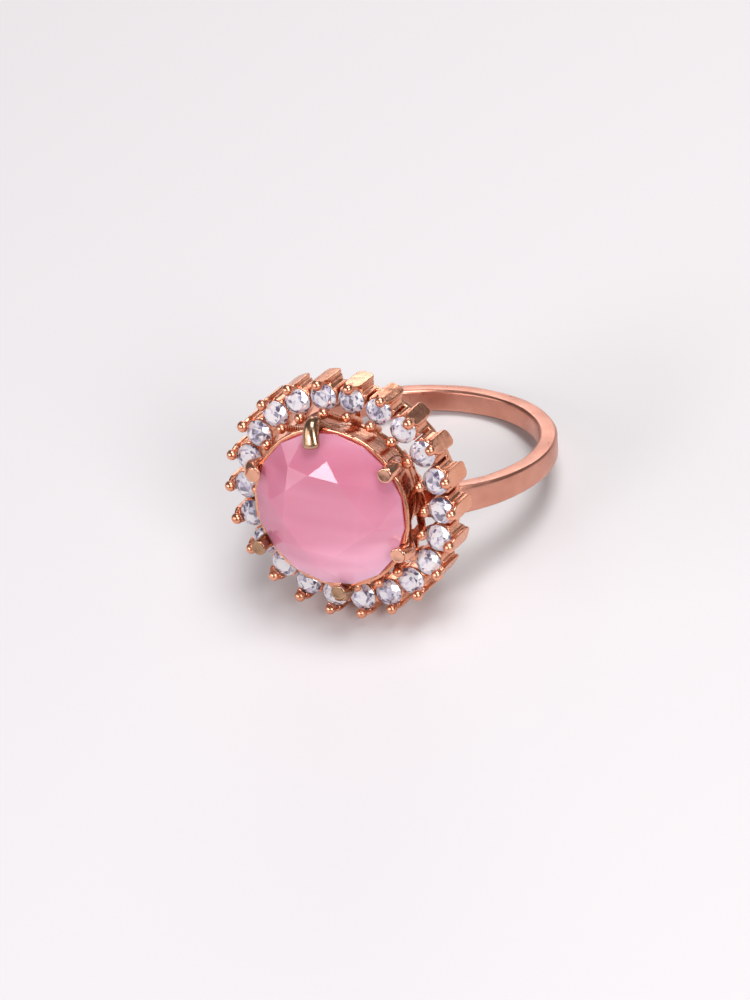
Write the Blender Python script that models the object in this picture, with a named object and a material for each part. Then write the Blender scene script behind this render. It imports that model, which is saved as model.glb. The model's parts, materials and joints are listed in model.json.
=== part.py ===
"""Cocktail ring lying on its side: a round faceted stone in a six-claw basket, a halo of
small brilliants in separate two-bead settings, and a plain band.

Everything is modelled upright in the ring's own axes (x across the head, y along the
finger hole, z out through the centre stone, zero at the middle of the finger hole) and
then tipped over as one, so that the halo's lower edge and the far side of the band
both touch the ground at z = 0. Units in the constants are millimetres.
"""

from math import atan2, cos, pi, radians, sin

import bmesh
import bpy
from mathutils import Matrix, Vector

MM = 0.001

# Band
HOLE_RADIUS = 8.65          # finger hole, across the head
HOLE_STRETCH = 1.03         # the hole is slightly taller than wide
BAND_THICKNESS = 1.25
BAND_WIDTH = 1.60
BAND_WIDTH_AT_HEAD = 2.10
BAND_EDGE = 0.22            # rounding of the band's four long edges
BAND_OFFSET = -0.80         # the band is soldered a little off the head's middle
BAND_REACH = 158            # degrees round each way, before the ends are cut flush
BAND_STATIONS = 50

# Halo
HEAD_HEIGHT = 11.40         # from the middle of the finger hole to the bead tips' centres
HALO_COUNT = 22
HALO_STONE_CIRCLE = 7.11
HALO_STONE_RADIUS = 0.93
OUTER_BEAD_CIRCLE = 8.13
INNER_BEAD_CIRCLE = 6.12
BEAD_RADIUS = 0.36
BAR_FACE = 8.34             # outer face of each setting's bar, from the head's axis
BAR_WIDTH = 1.10
BAR_INNER = 7.60
BAR_BACK = -2.78            # back end of the bars, below the beads
SETTING_BACK = -2.38        # back end of the cups and posts
CUP_RADIUS = 0.90
CUP_TOP = -0.74
CUP_WALL = 0.10
STRUT_FOOT = (4.86, -2.36)  # where the strut from the inner bead ends, by the basket

# Rings inside the head: (inner radius, outer radius, bottom, top)
HALO_RAIL = (6.74, 7.50, -3.00, -2.41)
BASKET_RAIL = (3.15, 4.35, -3.20, -2.60)
CROSS_BAR_WIDTH = 2.00      # the bar that the band's ends are soldered to
CROSS_TIE_WIDTH = 0.80

# Centre stone and its basket
STONE_RADIUS = 5.39
STONE_LEVEL = 1.44          # girdle, above the beads
STONE_GIRDLE = 0.22
STONE_CROWN = 1.35
STONE_PAVILION = 3.35
TABLE_RADIUS = 2.92
STAR_RADIUS = 3.92
STONE_TURN = 15.0           # degrees that the stone's table is turned
CUP_FOOT = 4.32             # outer radius of the stone's cup where it meets the basket
CUP_THICK = 0.30
CLAW_COUNT = 6
CLAW_RADIUS = 0.52
CLAW_TURN = 6.6             # degrees the basket is turned from square to the band
CLAW_SHIFT = (1.4, -0.7, 0.0, 0.6, -5.0, 0.4)   # sideways setting of each claw, degrees
CLAW_BEND = (1.0, 0.0, 0.0, 0.1, -0.25, 0.25)   # how far each tip is bent in, of the most

GAP = 0.03                  # between pieces that are soldered or set together

ROSE_GOLD = (0.72, 0.36, 0.26)
PINK = (0.80, 0.28, 0.42)
CLEAR = (0.90, 0.89, 0.95)


def material(name, colour, roughness, metallic, transmission=0.0):
    mat = bpy.data.materials.new(name)
    mat.use_nodes = True
    shader = mat.node_tree.nodes["Principled BSDF"]
    shader.inputs["Base Color"].default_value = (*colour, 1.0)
    shader.inputs["Roughness"].default_value = roughness
    shader.inputs["Metallic"].default_value = metallic
    shader.inputs["Transmission Weight"].default_value = transmission
    return mat


def finish(mesh, bm, smooth_angle=None):
    """Write a bmesh in millimetres into a mesh in metres, with its faces pointing out."""
    bmesh.ops.recalc_face_normals(bm, faces=bm.faces[:])
    bmesh.ops.scale(bm, vec=(MM, MM, MM), verts=bm.verts[:])
    bm.to_mesh(mesh)
    bm.free()
    if smooth_angle is not None:
        mesh.shade_smooth()
        mesh.set_sharp_from_angle(angle=radians(smooth_angle))
    return mesh


def place(name, mesh, mat, parent, turn=0.0):
    """Add an object that carries the mesh, turned about the head's axis."""
    if not mesh.materials:
        mesh.materials.append(mat)
    obj = bpy.data.objects.new(name, mesh)
    bpy.context.collection.objects.link(obj)
    obj.parent = parent
    obj.matrix_local = Matrix.Rotation(turn, 4, "Z")
    return obj


def loft(bm, rings):
    """Skin closed rings of equal size one after another and cap both ends."""
    rows = [[bm.verts.new(p) for p in ring] for ring in rings]
    for a, b in zip(rows, rows[1:]):
        for i in range(len(a)):
            j = (i + 1) % len(a)
            bm.faces.new((a[i], a[j], b[j], b[i]))
    bm.faces.new(list(reversed(rows[0])))
    bm.faces.new(rows[-1])


def turned(profile, count):
    """A solid of revolution about z from a closed (radius, height) profile."""
    bm = bmesh.new()
    verts = [bm.verts.new((r, 0.0, z)) for r, z in profile]
    edges = [bm.edges.new((verts[i], verts[(i + 1) % len(verts)])) for i in range(len(verts))]
    bmesh.ops.spin(bm, geom=verts + edges, cent=(0, 0, 0), axis=(0, 0, 1),
                   angle=2 * pi, steps=count, use_merge=True)
    bmesh.ops.remove_doubles(bm, verts=bm.verts[:], dist=1e-4)
    return bm


def ring_profile(inner, outer, bottom, top, edge):
    """Rectangle with its four corners cut at 45 degrees."""
    return [(inner + edge, bottom), (outer - edge, bottom), (outer, bottom + edge),
            (outer, top - edge), (outer - edge, top), (inner + edge, top),
            (inner, top - edge), (inner, bottom + edge)]


def boolean(target, tool, operation):
    """Apply one exact Boolean between two meshes in millimetres and return a bmesh."""
    objects = []
    for source in (target, tool):
        mesh = bpy.data.meshes.new("operand")
        bmesh.ops.recalc_face_normals(source, faces=source.faces[:])
        source.to_mesh(mesh)
        source.free()
        obj = bpy.data.objects.new("operand", mesh)
        bpy.context.collection.objects.link(obj)
        objects.append(obj)
    modifier = objects[0].modifiers.new("Boolean", "BOOLEAN")
    modifier.object = objects[1]
    modifier.operation = operation
    modifier.solver = "EXACT"
    result = bmesh.new()
    result.from_object(objects[0], bpy.context.evaluated_depsgraph_get())
    for obj in objects:
        bpy.data.objects.remove(obj, do_unlink=True)
    bmesh.ops.remove_doubles(result, verts=result.verts[:], dist=1e-4)
    bmesh.ops.dissolve_degenerate(result, dist=1e-4, edges=result.edges[:])
    return result


def box(x0, x1, y0, y1, z0, z1):
    bm = bmesh.new()
    bmesh.ops.create_cube(bm, size=1.0)
    for v in bm.verts:
        v.co = Vector((x0 if v.co.x < 0 else x1, y0 if v.co.y < 0 else y1,
                       z0 if v.co.z < 0 else z1))
    return bm


def band_mesh():
    """An open hoop of constant thickness whose two ends butt against the cross bar."""
    head_back = HEAD_HEIGHT + BASKET_RAIL[2] - GAP
    mid_x = HOLE_RADIUS + BAND_THICKNESS / 2
    mid_z = HOLE_RADIUS * HOLE_STRETCH + BAND_THICKNESS / 2
    bm = bmesh.new()
    rings = []
    reach = radians(BAND_REACH)
    for k in range(BAND_STATIONS + 1):
        t = -reach + 2 * reach * k / BAND_STATIONS
        centre = Vector((mid_x * sin(t), BAND_OFFSET, -mid_z * cos(t)))
        normal = Vector((mid_z * sin(t), 0.0, -mid_x * cos(t))).normalized()
        near_head = max(0.0, (abs(t) - radians(75)) / (reach - radians(75)))
        half = 0.5 * (BAND_WIDTH + (BAND_WIDTH_AT_HEAD - BAND_WIDTH) * near_head ** 1.5)
        deep = BAND_THICKNESS / 2
        section = [(-half, -deep + BAND_EDGE), (-half, deep - BAND_EDGE),
                   (-half + BAND_EDGE, deep), (half - BAND_EDGE, deep),
                   (half, deep - BAND_EDGE), (half, -deep + BAND_EDGE),
                   (half - BAND_EDGE, -deep), (-half + BAND_EDGE, -deep)]
        rings.append([centre + normal * d + Vector((0, y, 0)) for y, d in section])
    loft(bm, rings)
    bmesh.ops.recalc_face_normals(bm, faces=bm.faces[:])
    return boolean(bm, box(-12, 12, -6, 6, head_back, head_back + 6), "DIFFERENCE")


def setting_mesh():
    """One halo setting: a cup under the stone, a bar down its outer side that ends in a
    bead at the front, and a post with a second bead towards the centre, from which a
    strut leans back and in towards the basket."""
    head = HEAD_HEIGHT
    cup_profile = [(0.0, CUP_TOP - 0.78), (CUP_RADIUS - CUP_WALL, CUP_TOP),
                   (CUP_RADIUS, CUP_TOP - 0.04), (CUP_RADIUS - 0.04, SETTING_BACK + 0.10),
                   (CUP_RADIUS - 0.14, SETTING_BACK), (0.0, SETTING_BACK)]
    cup = bmesh.new()
    sides = 12
    rows = [[cup.verts.new((HALO_STONE_CIRCLE + r * cos(2 * pi * i / sides),
                            r * sin(2 * pi * i / sides), head + z)) for i in range(sides)]
            for r, z in cup_profile[1:-1]]
    for upper, lower in zip(rows, rows[1:]):
        for i in range(sides):
            j = (i + 1) % sides
            cup.faces.new((upper[i], lower[i], lower[j], upper[j]))
    cup.faces.new(rows[-1])
    seat = cup.verts.new((HALO_STONE_CIRCLE, 0.0, head + cup_profile[0][1]))
    for i in range(sides):
        cup.faces.new((rows[0][i], rows[0][(i + 1) % sides], seat))
    bmesh.ops.recalc_face_normals(cup, faces=cup.faces[:])

    def across(face, inner, half):
        """Outline of the bar, a flat plate with its outer corners cut."""
        side = [(face, half - 0.12), (face - 0.10, half - 0.05), (inner, half)]
        return [(x, -y) for x, y in side] + [(x, y) for x, y in reversed(side)]

    wide = BAR_WIDTH / 2
    stem = OUTER_BEAD_CIRCLE
    rows = [(across(BAR_FACE - 0.04, BAR_INNER + 0.02, wide * 0.50), BAR_BACK),
            (across(BAR_FACE, BAR_INNER, wide * 0.84), BAR_BACK + 0.14),
            (across(BAR_FACE, BAR_INNER, wide), BAR_BACK + 0.45),
            (across(BAR_FACE, BAR_INNER, wide), -0.95),
            (across(BAR_FACE, stem - 0.08, wide - 0.03), -0.62),
            (across(BAR_FACE, stem - 0.08, wide * 0.66), -0.30),
            (across(stem + 0.18, stem - 0.14, wide * 0.44), 0.0)]
    bar = bmesh.new()
    loft(bar, [[Vector((x, y, head + z)) for x, y in section] for section, z in rows])
    solid = boolean(cup, bar, "UNION")
    solid = boolean(solid, bead_at(OUTER_BEAD_CIRCLE), "UNION")

    post = bar_through([(INNER_BEAD_CIRCLE - 0.12, -0.02), (INNER_BEAD_CIRCLE - 0.10, -0.66),
                        (INNER_BEAD_CIRCLE + 0.12, -1.60)], 0.20, 0.25)
    solid = boolean(solid, post, "UNION")
    solid = boolean(solid, bar_through([(INNER_BEAD_CIRCLE - 0.02, -0.45), STRUT_FOOT],
                                       0.20, 0.23), "UNION")
    return boolean(solid, bead_at(INNER_BEAD_CIRCLE), "UNION")


def bar_through(points, half_x, half_y):
    """An eight-sided bar through (distance, height above the beads) points."""
    bm = bmesh.new()
    loft(bm, [[Vector((x + half_x * cos(a), half_y * sin(a), HEAD_HEIGHT + height))
               for a in (2 * pi * (i + 0.5) / 8 for i in range(8))] for x, height in points])
    return bm


def bead_at(distance):
    bm = bmesh.new()
    bmesh.ops.create_uvsphere(bm, u_segments=8, v_segments=5, radius=BEAD_RADIUS,
                              matrix=Matrix.Translation((distance, 0, HEAD_HEIGHT)))
    return bm


def brilliant(radius, girdle, crown, pavilion, table, star, fold, level):
    """A round brilliant: table, star, kite and girdle facets on the crown, a thin girdle
    and a pavilion that runs to a point. fold is the table's number of sides, and star
    is how far out the star facets reach. The kites are flat."""
    bm = bmesh.new()
    n = 2 * fold
    half = girdle / 2
    kite = (star * cos(pi / fold) - table) / (radius - table)

    def circle(r, z, count, shift):
        return [bm.verts.new((r * cos(2 * pi * (i + shift) / count),
                              r * sin(2 * pi * (i + shift) / count), z)) for i in range(count)]

    top = circle(table, level + half + crown, fold, 0.0)
    stars = circle(star, level + half + crown * (1 - kite), fold, 0.5)
    upper = circle(radius, level + half, n, 0.0)
    lower = circle(radius, level - half, n, 0.0)
    tip = bm.verts.new((0, 0, level - half - pavilion))
    bm.faces.new(top)
    for i in range(fold):
        j = (i + 1) % fold
        near, middle, far = upper[2 * i], upper[2 * i + 1], upper[(2 * i + 2) % n]
        bm.faces.new((top[i], stars[i], top[j]))
        bm.faces.new((stars[i - 1], near, stars[i], top[i]))
        bm.faces.new((stars[i], near, middle))
        bm.faces.new((stars[i], middle, far))
    for i in range(n):
        j = (i + 1) % n
        bm.faces.new((upper[i], lower[i], lower[j], upper[j]))
        bm.faces.new((lower[i], tip, lower[j]))
    return bm


def melee(radius, girdle, crown, pavilion, table, fold, level):
    """A small stone: table, bezel facets, a thin girdle and a pointed pavilion."""
    bm = bmesh.new()
    rows = []
    for r, z in ((table, level + girdle / 2 + crown), (radius, level + girdle / 2),
                 (radius, level - girdle / 2)):
        rows.append([bm.verts.new((r * cos(2 * pi * i / fold), r * sin(2 * pi * i / fold), z))
                     for i in range(fold)])
    tip = bm.verts.new((0, 0, level - girdle / 2 - pavilion))
    bm.faces.new(rows[0])
    for i in range(fold):
        j = (i + 1) % fold
        for upper, lower in zip(rows, rows[1:]):
            bm.faces.new((upper[i], lower[i], lower[j], upper[j]))
        bm.faces.new((rows[-1][i], tip, rows[-1][j]))
    return bm


def claw_path(bend):
    """Centre line of a claw as (distance from the head's axis, height above the beads)."""
    upright = [(5.95, 1.42), (5.91, 1.78), (5.80, 2.13), (5.68, 2.40)]
    bent = [(5.95, 1.42), (5.82, 1.86), (5.49, 2.18), (5.13, 2.33)]
    tip = [(a + (c - a) * bend, b + (d - b) * bend) for (a, b), (c, d) in zip(upright, bent)]
    return [(3.75, BASKET_RAIL[3] + GAP), (4.10, -1.80), (4.62, -0.80), (5.06, 0.05),
            (5.42, 0.56), (5.78, 1.04), *tip]


def claw_mesh(radius, bend, ends=True):
    """A round wire that rises from the basket's rail, passes inside the halo and leans
    in over the stone's edge. The tip is cut square to the wire."""
    points = [Vector((r, 0.0, HEAD_HEIGHT + h)) for r, h in claw_path(bend)]
    bm = bmesh.new()
    rows = []
    sides = 10
    for i, point in enumerate(points):
        before = points[max(i - 1, 0)]
        after = points[min(i + 1, len(points) - 1)]
        along = (after - before).normalized()
        if i == 0:
            along = Vector((0, 0, 1))
        out = along.cross(Vector((0, 1, 0))).normalized()
        rows.append([point + out * radius * cos(a) + Vector((0, 1, 0)) * radius * sin(a)
                     for a in (2 * pi * (k + 0.5) / sides for k in range(sides))])
    if ends:
        tip = (points[-1] - points[-2]).normalized()
        last = rows[-1]
        middle = points[-1] + tip * 0.09
        rows.append([middle + (p - points[-1]) * 0.80 for p in last])
    loft(bm, rows)
    return bm


def collar_mesh():
    """The stone's cup: a rim under the girdle and a tapering wall down to the basket's
    rail, with a channel for each claw."""
    level = STONE_LEVEL - STONE_GIRDLE / 2
    slope = STONE_RADIUS / STONE_PAVILION

    def seat(height):
        return STONE_RADIUS - (level - height) * slope + 0.06

    inside = CUP_FOOT - CUP_THICK
    profile = [(seat(level - 0.06), level - 0.06), (STONE_RADIUS + 0.24, level - 0.02),
               (STONE_RADIUS + 0.26, level - 0.10), (STONE_RADIUS + 0.14, level - 0.42),
               (CUP_FOOT + 0.62, level - 1.90), (CUP_FOOT, BASKET_RAIL[3] + GAP),
               (inside, BASKET_RAIL[3] + GAP), (seat(level - 0.44) + 0.02, level - 0.44)]
    profile = [(r, HEAD_HEIGHT + z) for r, z in profile]
    collar = turned(profile, 48)
    for k in range(CLAW_COUNT):
        tool = claw_mesh(CLAW_RADIUS + GAP, CLAW_BEND[k], ends=False)
        bmesh.ops.rotate(tool, cent=(0, 0, 0), verts=tool.verts[:],
                         matrix=Matrix.Rotation(claw_angle(k), 3, "Z"))
        collar = boolean(collar, tool, "DIFFERENCE")
    return collar


def basket_rail_mesh():
    """Rail that the claws stand on, with a wide bar across it for the band's ends and a
    narrow tie square to that, both reaching out under the halo rail."""
    inner, outer, bottom, top = BASKET_RAIL
    head = HEAD_HEIGHT
    rail = turned(ring_profile(inner, outer, head + bottom, head + top, 0.10), 40)
    low, high = head + bottom, head + HALO_RAIL[2] - GAP
    reach = (HALO_RAIL[0] + HALO_RAIL[1]) / 2
    middle = (inner + outer) / 2
    side = CROSS_BAR_WIDTH / 2
    tie = CROSS_TIE_WIDTH / 2
    for sign in (-1, 1):
        ends = sorted((sign * middle, sign * reach))
        bar = box(ends[0], ends[1], BAND_OFFSET - side, BAND_OFFSET + side, low + 0.02, high)
        rail = boolean(rail, bar, "UNION")
        rail = boolean(rail, box(-tie, tie, ends[0], ends[1], low + 0.02, high), "UNION")
    return rail


def claw_angle(index):
    return radians(CLAW_TURN + CLAW_SHIFT[index] + 90.0 - 360.0 * index / CLAW_COUNT)


def halo_angle(index):
    """Settings sit half a step either side of the top, numbered clockwise from it."""
    return pi / 2 + (0.5 - index) * 2 * pi / HALO_COUNT


def build():
    for obj in list(bpy.data.objects):
        bpy.data.objects.remove(obj, do_unlink=True)

    root = bpy.data.objects.new("ring_axes", None)
    bpy.context.collection.objects.link(root)

    gold = {}
    for key, roughness in (("shank", 0.30), ("halo_rail", 0.32), ("basket_rail", 0.32),
                           ("centre_collar", 0.22), ("claw", 0.20), ("setting", 0.24)):
        gold[key] = material(key, ROSE_GOLD, roughness, 1.0)
    pink = material("centre_stone", PINK, 0.10, 0.0, 0.35)
    clear = material("halo_stone", CLEAR, 0.03, 0.0, 0.80)

    pieces = [
        place("shank", finish(bpy.data.meshes.new("shank"), band_mesh(), 30), gold["shank"], root)]
    rail = turned(ring_profile(HALO_RAIL[0], HALO_RAIL[1], HEAD_HEIGHT + HALO_RAIL[2],
                               HEAD_HEIGHT + HALO_RAIL[3], 0.10), 44)
    pieces.append(place("halo_rail", finish(bpy.data.meshes.new("halo_rail"), rail, 35),
                        gold["halo_rail"], root))
    pieces.append(place("basket_rail", finish(bpy.data.meshes.new("basket_rail"),
                                              basket_rail_mesh(), 35), gold["basket_rail"], root))
    pieces.append(place("centre_collar", finish(bpy.data.meshes.new("centre_collar"),
                                                collar_mesh(), 35), gold["centre_collar"], root))
    stone = brilliant(STONE_RADIUS, STONE_GIRDLE, STONE_CROWN, STONE_PAVILION, TABLE_RADIUS,
                      STAR_RADIUS, 8, HEAD_HEIGHT + STONE_LEVEL)
    pieces.append(place("centre_stone", finish(bpy.data.meshes.new("centre_stone"), stone),
                        pink, root, radians(STONE_TURN)))

    for k in range(CLAW_COUNT):
        claw = finish(bpy.data.meshes.new(f"claw_{k + 1}"),
                      claw_mesh(CLAW_RADIUS, CLAW_BEND[k]), 50)
        pieces.append(place(f"claw_{k + 1}", claw, gold["claw"], root, claw_angle(k)))

    setting = finish(bpy.data.meshes.new("setting"), setting_mesh(), 40)
    gem = melee(HALO_STONE_RADIUS, 0.06, 0.30, 0.78, 0.54, 10, 0.0)
    bmesh.ops.translate(gem, verts=gem.verts[:],
                        vec=(HALO_STONE_CIRCLE, 0, HEAD_HEIGHT - 0.56))
    gem = finish(bpy.data.meshes.new("halo_stone"), gem)
    for k in range(HALO_COUNT):
        turn = halo_angle(k)
        pieces.append(place(f"setting_{k + 1:02d}", setting, gold["setting"], root, turn))
        pieces.append(place(f"halo_stone_{k + 1:02d}", gem, clear, root, turn))

    lay_down(root, pieces)


def lay_down(root, pieces):
    """Tip the ring onto its side until the halo and the band's far side share the ground,
    then centre it over the origin."""
    bpy.context.view_layer.update()
    points = [piece.matrix_local @ v.co for piece in pieces for v in piece.data.vertices]
    low, high = 0.0, pi / 3
    for _ in range(50):
        tilt = (low + high) / 2
        down = Vector((0.0, cos(tilt), sin(tilt)))
        head_side = min(p.dot(down) for p in points if p.z > 0)
        band_side = min(p.dot(down) for p in points if p.z < 0)
        if head_side < band_side:
            low = tilt
        else:
            high = tilt
    turn = Matrix(((1, 0, 0), (0, sin(tilt), -cos(tilt)), (0, cos(tilt), sin(tilt)))).to_4x4()
    moved = [turn @ p for p in points]
    lift = Vector((-(max(p.x for p in moved) + min(p.x for p in moved)) / 2,
                   -(max(p.y for p in moved) + min(p.y for p in moved)) / 2,
                   -min(p.z for p in moved)))
    root.matrix_world = Matrix.Translation(lift) @ turn


build()
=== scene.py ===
"""Looks of the cocktail ring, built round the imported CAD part.

Shapes are made in millimetres in the ring's own axes (x across the head, y along the
finger hole, z out through the centre stone, zero at the middle of the finger hole). The
place of those axes comes from the record's stone_table mount.
"""

import json
import random
from math import cos, pi, radians, sin

import bmesh
import bpy
from mathutils import Matrix, Vector, noise


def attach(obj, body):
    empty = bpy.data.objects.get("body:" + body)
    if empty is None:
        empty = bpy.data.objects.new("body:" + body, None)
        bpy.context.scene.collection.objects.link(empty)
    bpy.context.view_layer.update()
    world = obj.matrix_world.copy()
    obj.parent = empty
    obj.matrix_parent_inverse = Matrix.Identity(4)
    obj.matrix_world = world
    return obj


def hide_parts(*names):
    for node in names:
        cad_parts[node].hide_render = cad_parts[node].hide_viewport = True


MM = 0.001
HEAD = 11.40                # bead level, from the middle of the finger hole
TABLE_HEIGHT = 14.30        # the centre stone's table, from the same place

# Halo. Heights from here on are from bead level, and radii are from the head's axis.
HALO = 22
HALO_RADIUS = 7.11          # circle through the halo stones
GEM_RADIUS = 0.93
GEM_LEVEL = -0.56           # girdle of a halo stone
BEAD_RADIUS = 0.375
OUTER_BEAD, INNER_BEAD = 8.13, 6.12
STRUT_TOP, STRUT_FOOT = (6.06, -0.30), (4.86, -2.36)
STRUT_RADIUS = 0.225
RIB_PITCH = 0.21            # fine ribs, as a printed pattern leaves them
TAB, TAB_DEPTH = (0.70, 0.985), (6.98, 7.62)    # side tabs that close up to the neighbours
TAB_BOTTOM, TAB_TOP = -2.34, -0.80
WEBBED = range(4, 13)       # settings whose struts carry a web
MELT = 0.042                # voxel size that melts a setting into one casting
GEM_GAP = 0.040             # between a halo stone and its setting

# Head: inner and outer radius, bottom and top of each rail.
HALO_RAIL = (6.74, 7.50, -3.00, -2.44)
BASKET_RAIL = (3.15, 4.35, -3.20, -2.60)
CROSS_BAR = (3.70, 7.12, -3.19, -3.03)
CROSS_BAR_SIDES = (-1.80, 0.20)
CROSS_TIE_HALF = 0.40
BAND_END = -3.23            # where the band is cut flush under the cross bar

# Centre stone and claws.
STONE_RADIUS = 5.40
STONE_LEVEL = 1.44
STONE_TURN = radians(15)
CLAW_RADIUS = 0.52
CLAW_CHANNEL = 0.55
CLAW_FOOT = -2.57
CLAW_TURN = 6.6             # degrees that the basket is turned from square to the band
CLAW_SHIFT = (1.4, -0.7, 0.0, 0.6, -5.0, 0.4)
CLAW_BEND = (1.0, 0.0, 0.0, 0.1, -0.25, 0.25)
# Claws whose gold is painted darker, as painted shade for the dark reflections they show.
SHADED_CLAWS = (0, 3, 4)
SEAT_GAP = 0.012            # between the centre stone and the metal that holds it

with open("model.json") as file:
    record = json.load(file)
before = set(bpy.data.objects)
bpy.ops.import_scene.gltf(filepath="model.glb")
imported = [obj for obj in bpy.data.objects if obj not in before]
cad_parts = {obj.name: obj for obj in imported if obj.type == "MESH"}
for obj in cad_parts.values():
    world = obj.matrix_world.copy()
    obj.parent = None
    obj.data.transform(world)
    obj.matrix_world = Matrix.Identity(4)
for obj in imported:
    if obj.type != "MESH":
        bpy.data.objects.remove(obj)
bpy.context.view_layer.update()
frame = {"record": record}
scene = bpy.context.scene
dice = random.Random(11)

mount = next(m for m in frame["record"]["mounts"] if m["name"] == "stone_table")
H = Vector(mount["axis"]).normalized()
T = Vector((1, 0, 0))
F = H.cross(T).normalized()
CENTRE = Vector(mount["pos_m"]) - H * TABLE_HEIGHT * MM
AXES = Matrix((T, F, H)).transposed().to_4x4()
AXES.translation = CENTRE
TO_ROW = AXES @ Matrix.Scale(MM, 4)


# ---------------------------------------------------------------- shape helpers

def skin(rings):
    """Skin equal closed rings one after another, with both ends closed."""
    bm = bmesh.new()
    rows = [[bm.verts.new(p) for p in ring] for ring in rings]
    for a, b in zip(rows, rows[1:]):
        for i in range(len(a)):
            j = (i + 1) % len(a)
            bm.faces.new((a[i], a[j], b[j], b[i]))
    bm.faces.new(list(reversed(rows[0])))
    bm.faces.new(rows[-1])
    bmesh.ops.recalc_face_normals(bm, faces=bm.faces[:])
    return bm


def lathe(profile, count, centre=(0.0, 0.0)):
    """Solid of revolution about an upright line. A profile that starts and ends on the
    line is closed by its poles, any other one closes on itself."""
    bm = bmesh.new()
    poles = profile[0][0] == 0.0
    body = profile[1:-1] if poles else profile
    rows = [[bm.verts.new((centre[0] + r * cos(2 * pi * i / count),
                           centre[1] + r * sin(2 * pi * i / count), z)) for i in range(count)]
            for r, z in body]
    pairs = list(zip(rows, rows[1:]))
    if not poles:
        pairs.append((rows[-1], rows[0]))
    for a, b in pairs:
        for i in range(count):
            j = (i + 1) % count
            bm.faces.new((a[i], a[j], b[j], b[i]))
    if poles:
        for row, (_, z) in ((rows[0], profile[0]), (rows[-1], profile[-1])):
            pole = bm.verts.new((centre[0], centre[1], z))
            for i in range(count):
                bm.faces.new((row[i], row[(i + 1) % count], pole))
    bmesh.ops.recalc_face_normals(bm, faces=bm.faces[:])
    return bm


def ball(centre, radius, stretch=(1, 1, 1)):
    bm = bmesh.new()
    bmesh.ops.create_icosphere(bm, subdivisions=4, radius=radius,
                               matrix=Matrix.Translation(centre) @ Matrix.Diagonal((*stretch, 1)))
    return bm


def rod(points, radii, sides=24):
    """A round bar through points in the plane y = 0."""
    rings = []
    for i, p in enumerate(points):
        ahead = points[min(i + 1, len(points) - 1)] - points[max(i - 1, 0)]
        out = ahead.normalized().cross(Vector((0, 1, 0))).normalized()
        rings.append([p + out * radii[i] * cos(a) + Vector((0, 1, 0)) * radii[i] * sin(a)
                      for a in (2 * pi * k / sides for k in range(sides))])
    return skin(rings)


def block(x0, x1, y0, y1, z0, z1):
    bm = bmesh.new()
    bmesh.ops.create_cube(bm, size=1.0)
    for v in bm.verts:
        v.co = Vector((x0 if v.co.x < 0 else x1, y0 if v.co.y < 0 else y1,
                       z0 if v.co.z < 0 else z1))
    return bm


def spline(points, steps):
    """Catmull-Rom through the points."""
    pts = [points[0] * 2 - points[1], *points, points[-1] * 2 - points[-2]]
    out = []
    for i in range(1, len(pts) - 2):
        a, b, c, d = pts[i - 1:i + 3]
        for s in range(steps):
            t = s / steps
            out.append(0.5 * (2 * b + (c - a) * t + (2 * a - 5 * b + 4 * c - d) * t * t
                              + (3 * b - a - 3 * c + d) * t ** 3))
    return out + [points[-1]]


def cast(parts, voxel, passes):
    """Melt overlapping closed shapes into one softened casting."""
    mesh = bpy.data.meshes.new("cast")
    whole = bmesh.new()
    for part in parts:
        piece_mesh = bpy.data.meshes.new("part")
        part.to_mesh(piece_mesh)
        part.free()
        whole.from_mesh(piece_mesh)
        bpy.data.meshes.remove(piece_mesh)
    whole.to_mesh(mesh)
    whole.free()
    obj = bpy.data.objects.new("cast", mesh)
    scene.collection.objects.link(obj)
    melt = obj.modifiers.new("melt", "REMESH")
    melt.mode = "VOXEL"
    melt.voxel_size = voxel
    soften = obj.modifiers.new("soften", "SMOOTH")
    soften.factor = 0.5
    soften.iterations = passes
    bm = bmesh.new()
    bm.from_object(obj, bpy.context.evaluated_depsgraph_get())
    bpy.data.objects.remove(obj, do_unlink=True)
    bpy.data.meshes.remove(mesh)
    return bm


def rough_up(bm, size, amount, seed):
    """Push the surface in and out by a little, as hand finishing leaves it."""
    bm.normal_update()
    shift = Vector((seed * 7.31, seed * 3.17, seed * 5.77))
    for v in bm.verts:
        v.co += v.normal * amount * noise.noise(v.co / size + shift)


def seat(bm, stone, gap, turn=0.0):
    """Press metal clear of a convex cut stone, as it's pressed down onto one."""
    bmesh.ops.rotate(stone, cent=(0, 0, 0), matrix=Matrix.Rotation(turn, 3, "Z"),
                     verts=stone.verts[:])
    bmesh.ops.recalc_face_normals(stone, faces=stone.faces[:])
    planes = [(f.normal.copy(), f.normal.dot(f.verts[0].co)) for f in stone.faces]
    low = [min(v.co[i] for v in stone.verts) - gap for i in range(3)]
    high = [max(v.co[i] for v in stone.verts) + gap for i in range(3)]
    stone.free()
    for v in bm.verts:
        if any(not low[i] < v.co[i] < high[i] for i in range(3)):
            continue
        away, normal = max(((n.dot(v.co) - d, n) for n, d in planes), key=lambda pair: pair[0])
        if away < gap:
            v.co += normal * (gap - away)


def piece(name, bm, mat, nodes, turn=0.0, smooth=True, sharp=None):
    """Turn a shape about the head's axis, put it in the row frame and name what it is."""
    bmesh.ops.recalc_face_normals(bm, faces=bm.faces[:])
    mesh = bpy.data.meshes.new(name)
    bm.to_mesh(mesh)
    bm.free()
    mesh.transform(TO_ROW @ Matrix.Rotation(turn, 4, "Z"))
    mesh.update()
    if smooth:
        mesh.shade_smooth()
    if sharp is not None:
        mesh.set_sharp_from_angle(angle=radians(sharp))
    mesh.materials.append(mat)
    obj = bpy.data.objects.new(name, mesh)
    scene.collection.objects.link(obj)
    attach(obj, "root")
    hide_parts(*nodes)
    return obj


# ---------------------------------------------------------------- materials

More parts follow.
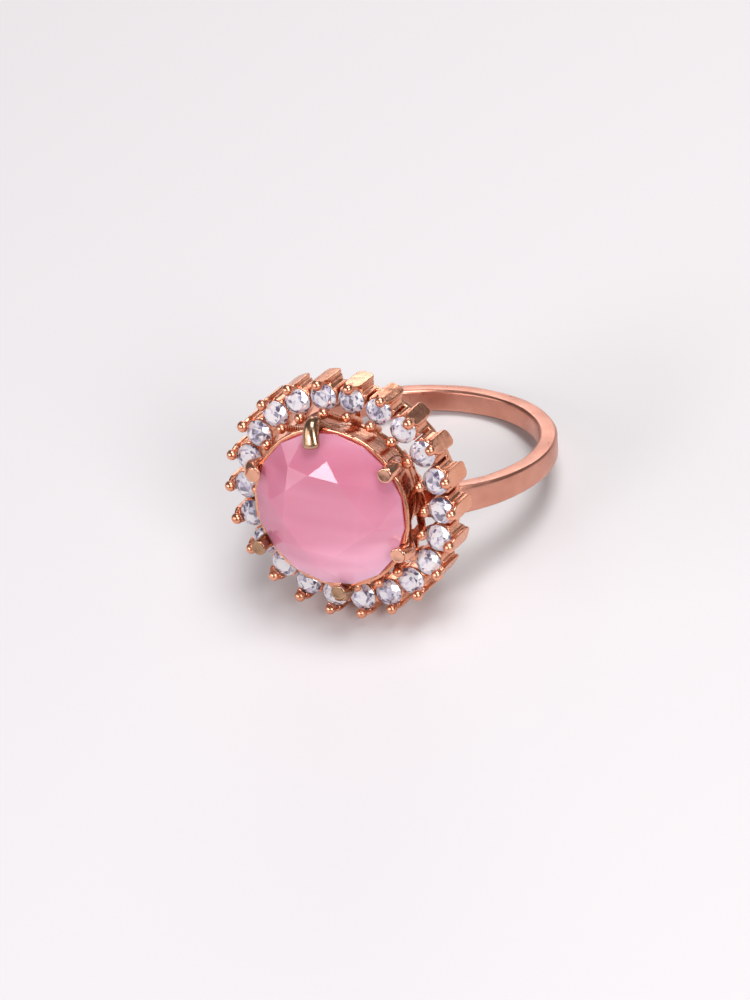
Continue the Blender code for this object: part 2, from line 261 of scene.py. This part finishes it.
class Nodes:
    """Short way to wire a node tree."""

    def __init__(self, name):
        self.mat = bpy.data.materials.new(name)
        self.mat.use_nodes = True
        self.tree = self.mat.node_tree
        self.shader = self.tree.nodes["Principled BSDF"]
        self.coords = self.add("ShaderNodeTexCoord").outputs["Object"]

    def add(self, kind, **settings):
        node = self.tree.nodes.new(kind)
        for key, value in settings.items():
            setattr(node, key, value)
        return node

    def link(self, a, b):
        self.tree.links.new(a, b)

    def math(self, operation, *values):
        """Each value is a socket to link or a plain number."""
        node = self.add("ShaderNodeMath", operation=operation)
        for slot, value in zip(node.inputs, values):
            if isinstance(value, float):
                slot.default_value = value
            else:
                self.link(value, slot)
        return node.outputs[0]

    def noise(self, size_mm, detail=4.0, roughness=0.5, stretch=None, distortion=0.0):
        """Noise whose features are about size_mm across."""
        node = self.add("ShaderNodeTexNoise")
        node.inputs["Scale"].default_value = 1000.0 / size_mm
        node.inputs["Detail"].default_value = detail
        node.inputs["Roughness"].default_value = roughness
        node.inputs["Distortion"].default_value = distortion
        source = self.coords
        if stretch:
            mapping = self.add("ShaderNodeMapping")
            mapping.inputs["Rotation"].default_value = stretch[0]
            mapping.inputs["Scale"].default_value = stretch[1]
            self.link(source, mapping.inputs["Vector"])
            source = mapping.outputs["Vector"]
        self.link(source, node.inputs["Vector"])
        return node.outputs["Fac"]

    def spread(self, value, low, high, from_low=0.3, from_high=0.7):
        node = self.add("ShaderNodeMapRange")
        node.inputs["From Min"].default_value = from_low
        node.inputs["From Max"].default_value = from_high
        node.inputs["To Min"].default_value = low
        node.inputs["To Max"].default_value = high
        self.link(value, node.inputs["Value"])
        return node.outputs["Result"]

    def ramp(self, value, *stops):
        node = self.add("ShaderNodeValToRGB")
        items = node.color_ramp.elements
        while len(items) < len(stops):
            items.new(0.5)
        for item, (at, colour) in zip(items, stops):
            item.position = at
            item.color = (*colour, 1.0)
        self.link(value, node.inputs["Fac"])
        return node.outputs["Color"]

    def bump(self, *layers):
        """Stack of (height, distance in mm, strength)."""
        normal = None
        for height, distance, strength in layers:
            node = self.add("ShaderNodeBump")
            node.inputs["Distance"].default_value = distance * MM
            node.inputs["Strength"].default_value = strength
            self.link(height, node.inputs["Height"])
            if normal:
                self.link(normal, node.inputs["Normal"])
            normal = node.outputs["Normal"]
        self.link(normal, self.shader.inputs["Normal"])


def plated(name, bright, dull, rough, grain, brushed=None):
    """Rose gold plate: colour and polish vary a little, with a fine grain and wear."""
    n = Nodes(name)
    n.shader.inputs["Metallic"].default_value = 1.0
    patches = n.noise(2.2, 3.0)
    n.link(n.ramp(patches, (0.32, dull), (0.68, bright)), n.shader.inputs["Base Color"])
    n.link(n.spread(n.noise(0.5, 5.0, 0.6), rough - 0.07, rough + 0.08),
           n.shader.inputs["Roughness"])
    fine = n.noise(0.12, 3.0, 0.6, stretch=brushed)
    n.bump((fine, grain, 0.6), (n.noise(0.7, 2.0), grain * 2.5, 0.5))
    return n.mat


# Painted shade: the band's gold is a darker copy of the head's, standing in for the shade and
# dark reflections on the band.
shaded_band_gold = plated("rose_gold_band", (0.72, 0.34, 0.25), (0.60, 0.26, 0.185), 0.33, 0.006,
                   ((0, 0, 0), (1.0, 1.0, 0.25)))
head_gold = plated("rose_gold_head", (0.88, 0.42, 0.27), (0.76, 0.32, 0.19), 0.27, 0.012)
collar_gold = plated("rose_gold_collar", (0.88, 0.42, 0.27), (0.72, 0.30, 0.18), 0.24, 0.014)
claw_gold = plated("rose_gold_polished", (0.86, 0.46, 0.32), (0.74, 0.36, 0.23), 0.20, 0.006)
# Painted shade: a darker copy of the claw gold for the claws that show dark reflections.
shaded_claw_gold = plated("rose_gold_claw_painted_shade", (0.58, 0.36, 0.23), (0.38, 0.22, 0.13), 0.22, 0.006)


def milky_pink():
    """Milky rose glass: a cloudy body in soft bands, with painted light that makes it paler
    towards one side, where light glows through, under polished facets."""
    n = Nodes("centre_stone")
    bands = n.noise(5.0, 2.0, 0.45, stretch=((0.0, 0.12, 0.0), (0.25, 1.0, 1.5)), distortion=0.3)
    # Painted light: the base colour grows paler towards the lower right, standing in for light
    # glowing through the stone.
    painted_glow_way = (T - F).normalized()
    middle = (CENTRE + H * (HEAD + STONE_LEVEL) * MM).dot(painted_glow_way)
    across = n.add("ShaderNodeVectorMath", operation="DOT_PRODUCT")
    n.link(n.coords, across.inputs[0])
    across.inputs[1].default_value = painted_glow_way
    # depth here is that painted glow, added to the cloudy bands.
    depth = n.spread(across.outputs["Value"], -0.11, 0.16, middle - 5 * MM, middle + 5 * MM)
    colour = n.ramp(n.math("ADD", bands, depth), (0.25, (0.54, 0.165, 0.25)),
                    (0.50, (0.65, 0.25, 0.35)), (0.75, (0.84, 0.41, 0.54)))
    n.link(colour, n.shader.inputs["Base Color"])
    n.shader.inputs["Subsurface Weight"].default_value = 0.55
    n.shader.inputs["Subsurface Radius"].default_value = (1.0, 0.35, 0.45)
    n.shader.inputs["Subsurface Scale"].default_value = 0.0022
    n.shader.inputs["IOR"].default_value = 1.55
    n.link(n.spread(n.noise(1.5, 3.0), 0.05, 0.12), n.shader.inputs["Roughness"])
    n.bump((n.noise(0.9, 2.0), 0.002, 0.5))
    return n.mat


def sparkle():
    """Colourless cut stone with painted reflections: each facet, and each small cell inside the
    stone, gets its own painted share of light in its base colour, from white and lilac to dark."""
    n = Nodes("halo_stone")
    painted_facet_glint = n.add("ShaderNodeTexWhiteNoise")
    n.link(n.add("ShaderNodeNewGeometry").outputs["True Normal"], painted_facet_glint.inputs["Vector"])
    cells = n.add("ShaderNodeTexVoronoi", distance="MANHATTAN")
    cells.inputs["Scale"].default_value = 1000.0 / 0.25
    n.link(n.coords, cells.inputs["Vector"])
    painted_cell_glint = n.add("ShaderNodeTexWhiteNoise")
    n.link(cells.outputs["Color"], painted_cell_glint.inputs["Vector"])
    share = n.math("MULTIPLY_ADD", painted_facet_glint.outputs["Value"], 0.50,
                   n.math("MULTIPLY", painted_cell_glint.outputs["Value"], 0.50))
    # Painted reflections: these base colours, near black to white, stand in for the light the cut
    # throws back.
    painted_reflection_tone = n.ramp(share, (0.0, (0.05, 0.04, 0.07)), (0.27, (0.20, 0.17, 0.27)),
                  (0.40, (0.66, 0.61, 0.82)), (0.54, (1.0, 0.98, 1.0)))
    n.link(painted_reflection_tone, n.shader.inputs["Base Color"])
    n.shader.inputs["Transmission Weight"].default_value = 0.30
    n.shader.inputs["IOR"].default_value = 2.15
    n.link(n.spread(n.noise(0.8, 2.0), 0.0, 0.02), n.shader.inputs["Roughness"])
    return n.mat


pink = milky_pink()
clear = sparkle()


# ---------------------------------------------------------------- band

def band():
    """Plain hoop of even thickness with rounded edges, a little wider at the head, its
    ends cut flush with the bar across the basket."""
    inner, thick, offset, edge = 8.65, 1.25, -0.80, 0.24
    mid_x = inner + thick / 2
    mid_z = inner * 1.03 + thick / 2
    reach = radians(158)
    stations = 260
    rings = []
    for k in range(stations + 1):
        t = -reach + 2 * reach * k / stations
        centre = Vector((mid_x * sin(t), offset, -mid_z * cos(t)))
        normal = Vector((mid_z * sin(t), 0.0, -mid_x * cos(t))).normalized()
        near = max(0.0, (abs(t) - radians(75)) / (radians(148) - radians(75)))
        half = 0.5 * (1.60 + 0.50 * near ** 1.5)
        deep = thick / 2
        section = []
        for sy, sd, start in ((1, 1, 0), (-1, 1, 90), (-1, -1, 180), (1, -1, 270)):
            for s in range(7):
                a = radians(start + 15 * s)
                section.append((sy * (half - edge) + edge * cos(a),
                                sd * (deep - edge) + edge * sin(a)))
        ring = []
        for y, d in section:
            dome = 0.03 * (1 - (y / half) ** 2)
            ring.append(centre + normal * (d + (dome if d > 0 else 0)) + Vector((0, y, 0)))
        rings.append(ring)
    bm = skin(rings)
    end = HEAD + BAND_END
    bmesh.ops.bisect_plane(bm, geom=bm.verts[:] + bm.edges[:] + bm.faces[:],
                           plane_co=(0, 0, end), plane_no=(0, 0, 1), clear_outer=True)
    bmesh.ops.holes_fill(bm, edges=[e for e in bm.edges if e.is_boundary])
    rough_up(bm, 2.4, 0.030, 1)
    for v in bm.verts:
        v.co.z = min(v.co.z, end)
    return bm


piece("ring_band", band(), shaded_band_gold, ["shank"], sharp=50)


# ---------------------------------------------------------------- head

def rounded(rail, edge, steps=4):
    """A rail's cross-section, with rounded edges, as a (radius, height) profile."""
    inner, outer, bottom, top = rail
    bottom, top = HEAD + bottom, HEAD + top
    out = []
    for cx, cz, start in ((outer - edge, top - edge, 0), (inner + edge, top - edge, 90),
                          (inner + edge, bottom + edge, 180), (outer - edge, bottom + edge, 270)):
        for s in range(steps + 1):
            a = radians(start + 90 * s / steps)
            out.append((cx + edge * cos(a), cz + edge * sin(a)))
    return out


def basket():
    """The basket rail with the wide bar that carries the band, and a narrow tie across."""
    parts = [lathe(rounded(BASKET_RAIL, 0.18), 96)]
    near_end, far_end, bottom, top = CROSS_BAR
    for sign in (-1, 1):
        a, b = sorted((sign * near_end, sign * far_end))
        parts.append(block(a, b, *CROSS_BAR_SIDES, HEAD + bottom, HEAD + top))
        parts.append(block(-CROSS_TIE_HALF, CROSS_TIE_HALF, a, b, HEAD + bottom, HEAD + top))
    bm = cast(parts, 0.06, 3)
    rough_up(bm, 1.0, 0.02, 3)
    return bm


rail = lathe(rounded(HALO_RAIL, 0.16), 180)
rough_up(rail, 0.9, 0.02, 2)
piece("halo_ring", rail, head_gold, ["halo_rail"], sharp=60)
piece("basket_ring", basket(), head_gold, ["basket_rail"])


def ribbed(points, radius, sides=20):
    """A bar along straight runs, with the fine cross ribs of a printed pattern."""
    line, radii = [], []
    for p, q in zip(points, points[1:]):
        steps = max(2, int((q - p).length / 0.05))
        for s in range(steps):
            line.append(p.lerp(q, s / steps))
    line.append(points[-1])
    walked = 0.0
    for i, p in enumerate(line):
        walked += (p - line[i - 1]).length if i else 0.0
        radii.append(radius * (1.0 + 0.10 * cos(2 * pi * walked / RIB_PITCH)))
    return rod(line, radii, sides)


def fill_in(points, step):
    """Points added along straight runs, at most step apart in the first value."""
    out = []
    for (a, b), (c, d) in zip(points, points[1:]):
        count = max(1, round((c - a) / step))
        out += [(a + (c - a) * s / count, b + (d - b) * s / count) for s in range(count)]
    return out + [points[-1]]


def at(radius, height):
    """A point in the plane y = 0, its height from bead level."""
    return Vector((radius, 0, HEAD + height))


def cup():
    """Cup under a halo stone, hollow from below."""
    profile = [(0.0, -1.46), (0.80, -0.72), (0.90, -0.70), (0.93, -0.80), (0.93, -2.28),
               (0.84, -2.38), (0.50, -2.38), (0.42, -2.30), (0.40, -1.85), (0.0, -1.80)]
    return lathe([(r, HEAD + z) for r, z in profile], 40, (HALO_RADIUS, 0.0))


def bar(scale, lean, skew):
    """The flat bar down the outer side, as three layers: a smooth face, a groove and a
    ribbed inner layer. Each layer is (inner radius, outer radius, trim, top)."""
    outline = [(-2.78, 0.30), (-2.75, 0.40), (-2.67, 0.49), (-2.54, 0.55), (-2.30, 0.58),
               (-1.60, 0.58), (-0.85, 0.57), (-0.58, 0.55), (-0.40, 0.49), (-0.24, 0.38),
               (-0.08, 0.26)]
    face, groove, backing = ((8.10, 8.34, 0.0, -0.05), (7.98, 8.12, 0.07, -0.5),
                             (7.58, 8.01, -0.03, -0.80))
    layers = []
    for layer in (face, groove, backing):
        r0, r1, trim, top = layer
        rings = []
        for z, half in fill_in(outline, 0.06):
            if z > top:
                break
            rib = 0.02 * cos(2 * pi * z / RIB_PITCH) if layer is backing else 0.0
            w = half * scale - trim + rib
            low = z + (0.05 if layer is groove else 0.0)
            rings.append([Vector((x, y + lean * z, HEAD + low + skew * y)) for x, y in
                          ((r0, -w), (r1 - 0.06, -w), (r1 - 0.015, -w + 0.07), (r1, 0),
                           (r1 - 0.015, w - 0.07), (r1 - 0.06, w), (r0, w))])
        layers.append(skin(rings))
    return layers


def strut_web():
    """A thin web along the strut, widest at the foot, that closes the view between
    struts."""
    half_thick = 0.07
    rings = []
    for r, z, half in ((6.00, -0.60, 0.45), (5.60, -1.10, 0.73), (5.20, -1.78, 0.69),
                       (4.90, -2.38, 0.65)):
        rings.append([Vector((r + x, y, HEAD + z)) for x, y in
                      ((-half_thick, -half), (half_thick, -half),
                       (half_thick, half), (-half_thick, half))])
    return skin(rings)


def setting(seed, webbed):
    """One halo setting, cast: a cup for the stone, a bar down the outer side with a bead
    at the front, and an inner bead on a strut that leans back to the basket."""
    rnd = random.Random(seed)

    def near(v, by):
        return v + rnd.uniform(-by, by)

    def bead(radius):
        centre = Vector((near(radius, 0.03), near(0.0, 0.05), HEAD + near(0.0, 0.04)))
        return ball(centre, near(BEAD_RADIUS, 0.02), (1, 1, 0.94))

    parts = [cup()]
    scale = near(1.0, 0.05)
    lean = near(0.0, 0.025)
    skew = near(0.0, 0.06)
    parts += bar(scale, lean, skew)
    parts.append(rod([at(8.18, -0.75), at(8.17, -0.45), at(8.13, -0.10)], [0.16, 0.20, 0.24]))
    parts.append(bead(OUTER_BEAD))
    parts.append(rod([at(6.24, -1.60), at(6.03, -0.66), at(6.04, -0.05)], [0.22, 0.22, 0.22]))
    parts.append(ribbed([at(*STRUT_TOP), at(*STRUT_FOOT)], STRUT_RADIUS))
    parts.append(bead(INNER_BEAD))
    if webbed:
        parts.append(strut_web())
    for side in (-1, 1):
        y0, y1 = sorted((side * TAB[0], side * TAB[1]))
        parts.append(block(*TAB_DEPTH, y0, y1, HEAD + TAB_BOTTOM, HEAD + TAB_TOP))
    bm = cast(parts, MELT, 2)
    rough_up(bm, 0.45, 0.012, seed)
    return bm


def brilliant(radius, girdle, crown, pavilion, table, star, level, lower):
    """A round brilliant with flat kites, in eight folds. lower is how far in, as a share
    of the radius, the lower girdle facets reach."""
    fold = 8
    bm = bmesh.new()
    n = 2 * fold
    half = girdle / 2
    kite = (star * cos(pi / fold) - table) / (radius - table)

    def circle(r, z, count, shift):
        return [bm.verts.new((r * cos(2 * pi * (i + shift) / count),
                              r * sin(2 * pi * (i + shift) / count), z)) for i in range(count)]

    top = circle(table, level + half + crown, fold, 0.0)
    stars = circle(star, level + half + crown * (1 - kite), fold, 0.5)
    upper = circle(radius, level + half, n, 0.0)
    under = circle(radius, level - half, n, 0.0)
    tip = bm.verts.new((0, 0, level - half - pavilion))
    bm.faces.new(top)
    for i in range(fold):
        j = (i + 1) % fold
        near, middle, far = upper[2 * i], upper[2 * i + 1], upper[(2 * i + 2) % n]
        bm.faces.new((top[i], stars[i], top[j]))
        bm.faces.new((stars[i - 1], near, stars[i], top[i]))
        bm.faces.new((stars[i], near, middle))
        bm.faces.new((stars[i], middle, far))
    for i in range(n):
        j = (i + 1) % n
        bm.faces.new((upper[i], under[i], under[j], upper[j]))
    depth = pavilion * (1 - lower * cos(pi / fold))
    inner = circle(radius * lower, level - half - depth, fold, 0.5)
    for i in range(fold):
        a, b, c = under[2 * i], under[2 * i + 1], under[(2 * i + 2) % n]
        bm.faces.new((a, b, inner[i]))
        bm.faces.new((b, c, inner[i]))
        bm.faces.new((inner[i - 1], a, inner[i], tip))
    return bm


def halo_cut():
    return brilliant(radius=GEM_RADIUS, girdle=0.05, crown=0.31, pavilion=0.79, table=0.53,
                     star=0.735, level=HEAD + GEM_LEVEL, lower=0.30)


def centre_cut():
    return brilliant(radius=STONE_RADIUS, girdle=0.22, crown=1.35, pavilion=3.35, table=2.92,
                     star=3.92, level=HEAD + STONE_LEVEL, lower=0.45)


for k in range(HALO):
    turn = pi / 2 + (0.5 - k) * 2 * pi / HALO
    gem = halo_cut()
    spin = (Matrix.Translation((HALO_RADIUS, 0, 0))
            @ Matrix.Rotation(dice.uniform(0, pi), 4, "Z"))
    bmesh.ops.transform(gem, matrix=spin, verts=gem.verts[:])
    holder = setting(k + 1, k in WEBBED)
    seat(holder, gem.copy(), GEM_GAP)
    piece(f"halo_setting_{k + 1:02d}", holder, head_gold,
          [f"setting_{k + 1:02d}"], turn)
    piece(f"halo_gem_{k + 1:02d}", gem, clear, [f"halo_stone_{k + 1:02d}"],
          turn, smooth=False)


# ---------------------------------------------------------------- centre stone

stone = centre_cut()
bmesh.ops.bevel(stone, geom=stone.edges[:], offset=0.025, segments=1, affect="EDGES")
piece("pink_stone", stone, pink, ["centre_stone"], STONE_TURN, smooth=False)


def claw_turn(k):
    return radians(CLAW_TURN + CLAW_SHIFT[k] + 90.0 - 60.0 * k)


def claw(radius, bend, ends, seed=0):
    """Round wire that rises from the basket and leans in over the stone's edge. bend goes
    from 0, upright with a square-cut tip, to 1, pressed over with a flattened, rounded
    tip. Without ends it's the plain wire that cuts a channel."""
    upright = [(5.95, 1.42), (5.91, 1.78), (5.80, 2.13), (5.68, 2.40)]
    bent = [(5.95, 1.42), (5.84, 1.80), (5.42, 2.10), (4.86, 2.32)]
    path = [(3.75, CLAW_FOOT), (4.10, -1.80), (4.62, -0.80), (5.06, 0.05), (5.42, 0.56),
            (5.78, 1.04)]
    path += [(a + (c - a) * bend, b + (d - b) * bend)
             for (a, b), (c, d) in zip(upright, bent)]
    line = spline([at(r, h) for r, h in path], 7)
    last_index = len(line) - 1
    pressed = max(0.0, bend)
    side_way = Vector((0, 1, 0))
    sides = 36
    rings = []
    for i, p in enumerate(line):
        ahead = (line[min(i + 1, last_index)] - line[max(i - 1, 0)]).normalized()
        if i == 0:
            ahead = Vector((0, 0, 1))
        square = max(0.0, 1 - (last_index - i) / 5) * (1 - pressed)
        ahead = ahead.lerp(Vector((0.06, 0, 1)), square).normalized()
        out = ahead.cross(side_way).normalized()
        flat = max(0.0, 1 - (last_index - i) / 14) * pressed if ends else 0.0
        thick, wide = radius * (1 - 0.30 * flat), radius * (1 + 0.20 * flat)
        rings.append([p + out * thick * cos(a) + side_way * wide * sin(a)
                      for a in (2 * pi * s / sides for s in range(sides))])
    if ends:
        last = rings[-1]
        blunt = ((0.030, 0.99), (0.058, 0.955), (0.078, 0.90), (0.088, 0.82), (0.083, 0.70),
                 (0.075, 0.35))
        round_end = ((0.08, 0.97), (0.16, 0.90), (0.23, 0.78), (0.28, 0.62), (0.31, 0.42),
                     (0.325, 0.20))
        for along, share in (round_end if bend > 0.5 else blunt):
            rings.append([line[-1] + ahead * along + (p - line[-1]) * share for p in last])
    bm = skin(rings)
    if ends:
        rough_up(bm, 0.8, 0.022, seed)
        for v in bm.verts:
            v.co.z = max(v.co.z, HEAD + CLAW_FOOT)
    return bm


def collar_wall():
    """The stone's rim, rippled wall and foot, as a (radius, height) profile."""
    wall = [(5.27, 1.27), (5.44, 1.335), (5.56, 1.33), (5.63, 1.28), (5.65, 1.20),
            (5.62, 1.10), (5.55, 0.98)]
    for step in range(64):
        z = 0.88 - step * 0.054
        outside = 5.53 - 0.399 * (0.91 - z) if z > -0.57 else 4.94 - 0.31 * (-0.57 - z)
        wall.append((outside + 0.018 * cos(2 * pi * z / 0.216), z))
    wall += [(4.30, CLAW_FOOT), (4.05, CLAW_FOOT), (4.02, -2.50), (4.76, 0.89)]
    return [(r, HEAD + z) for r, z in wall]


def linked(name, bm):
    """A shape as an object of its own, to run modifiers on."""
    mesh = bpy.data.meshes.new(name)
    bm.to_mesh(mesh)
    bm.free()
    obj = bpy.data.objects.new(name, mesh)
    scene.collection.objects.link(obj)
    return obj


def collar():
    """The collar with a channel cut for each claw."""
    body = linked("collar", lathe(collar_wall(), 200))
    cutters = []
    for k, bend in enumerate(CLAW_BEND):
        wire = claw(CLAW_CHANNEL, bend, False)
        bmesh.ops.rotate(wire, cent=(0, 0, 0), verts=wire.verts[:],
                         matrix=Matrix.Rotation(claw_turn(k), 3, "Z"))
        cutters.append(linked("notch", wire))
        cut = body.modifiers.new("notch", "BOOLEAN")
        cut.object = cutters[-1]
        cut.operation = "DIFFERENCE"
        cut.solver = "EXACT"
    bm = bmesh.new()
    bm.from_object(body, bpy.context.evaluated_depsgraph_get())
    rough_up(bm, 0.22, 0.020, 9)
    seat(bm, centre_cut(), SEAT_GAP, STONE_TURN)
    for obj in (body, *cutters):
        bpy.data.objects.remove(obj, do_unlink=True)
    return bm


piece("stone_collar", collar(), collar_gold, ["centre_collar"], sharp=40)

for k, bend in enumerate(CLAW_BEND):
    wire = claw(CLAW_RADIUS, bend, True, k + 1)
    seat(wire, centre_cut(), SEAT_GAP, STONE_TURN - claw_turn(k))
    piece(f"claw_wire_{k + 1}", wire, shaded_claw_gold if k in SHADED_CLAWS else claw_gold,
          [f"claw_{k + 1}"], claw_turn(k), sharp=45)


# ---------------------------------------------------------------- stage

def softbox(name, towards, distance, size, watts, colour=(1.0, 1.0, 1.0)):
    """Square area light that faces the ring from the given direction."""
    lamp = bpy.data.lights.new(name, "AREA")
    lamp.shape = "RECTANGLE"
    lamp.size, lamp.size_y = size
    lamp.energy = watts
    lamp.color = colour
    obj = bpy.data.objects.new(name, lamp)
    way = Vector(towards).normalized()
    obj.location = Vector((0, -0.004, 0.006)) + way * distance
    obj.rotation_euler = way.to_track_quat("Z", "Y").to_euler()
    scene.collection.objects.link(obj)


floor_mesh = bpy.data.meshes.new("floor")
floor_mesh.from_pydata([(-2, -2, 0), (2, -2, 0), (2, 2, 0), (-2, 2, 0)], [], [(0, 1, 2, 3)])
floor = bpy.data.objects.new("floor", floor_mesh)
floor_mat = bpy.data.materials.new("floor")
floor_mat.use_nodes = True
floor_shader = floor_mat.node_tree.nodes["Principled BSDF"]
floor_shader.inputs["Base Color"].default_value = (0.72, 0.70, 0.71, 1.0)
floor_shader.inputs["Roughness"].default_value = 0.6
floor_mesh.materials.append(floor_mat)
scene.collection.objects.link(floor)

world = bpy.data.worlds.new("studio")
world.use_nodes = True
world.node_tree.nodes["Background"].inputs["Color"].default_value = (0.80, 0.78, 0.80, 1.0)
world.node_tree.nodes["Background"].inputs["Strength"].default_value = 0.20
scene.world = world

softbox("front_left", (-0.34, -0.82, 0.48), 0.45, (0.13, 0.11), 0.55, (1.0, 0.93, 1.0))
softbox("left", (-0.80, -0.62, 0.42), 0.50, (0.30, 0.22), 0.45)
softbox("overhead", (0.25, 0.10, 1.0), 0.50, (0.30, 0.24), 1.9)
softbox("behind", (-0.30, 0.92, 0.25), 0.50, (0.30, 0.12), 0.40)
softbox("front", (0.75, -0.55, 0.62), 0.50, (0.20, 0.20), 1.1)

# Camera: degrees round, up and rolled, millimetres from its aim, the focal length as a
# share of the picture's height, and how far the aim is off the finger hole's middle.
TURN, RISE, ROLL, AWAY, FOCAL = 32.405, 40.063, -14.626, 300.0, 4.39748
SHIFT_RIGHT, SHIFT_UP = -3.480, -3.442
a, e, roll = radians(TURN), radians(RISE), radians(ROLL)
back = Vector((sin(a) * cos(e), -cos(a) * cos(e), sin(e)))
right = Vector((cos(a), sin(a), 0.0))
up = back.cross(right)
aim = CENTRE + (right * SHIFT_RIGHT + up * SHIFT_UP) * MM
image_right = right * cos(roll) + up * sin(roll)
image_up = up * cos(roll) - right * sin(roll)
lens = bpy.data.cameras.new("camera")
lens.sensor_fit = "AUTO"
lens.sensor_width = 36.0
lens.lens = FOCAL * lens.sensor_width
lens.clip_start = 0.01
camera = bpy.data.objects.new("camera", lens)
pose = Matrix((image_right, image_up, back)).transposed().to_4x4()
pose.translation = aim + back * AWAY * MM
camera.matrix_world = pose
scene.collection.objects.link(camera)
scene.camera = camera
scene.view_settings.view_transform = "Standard"
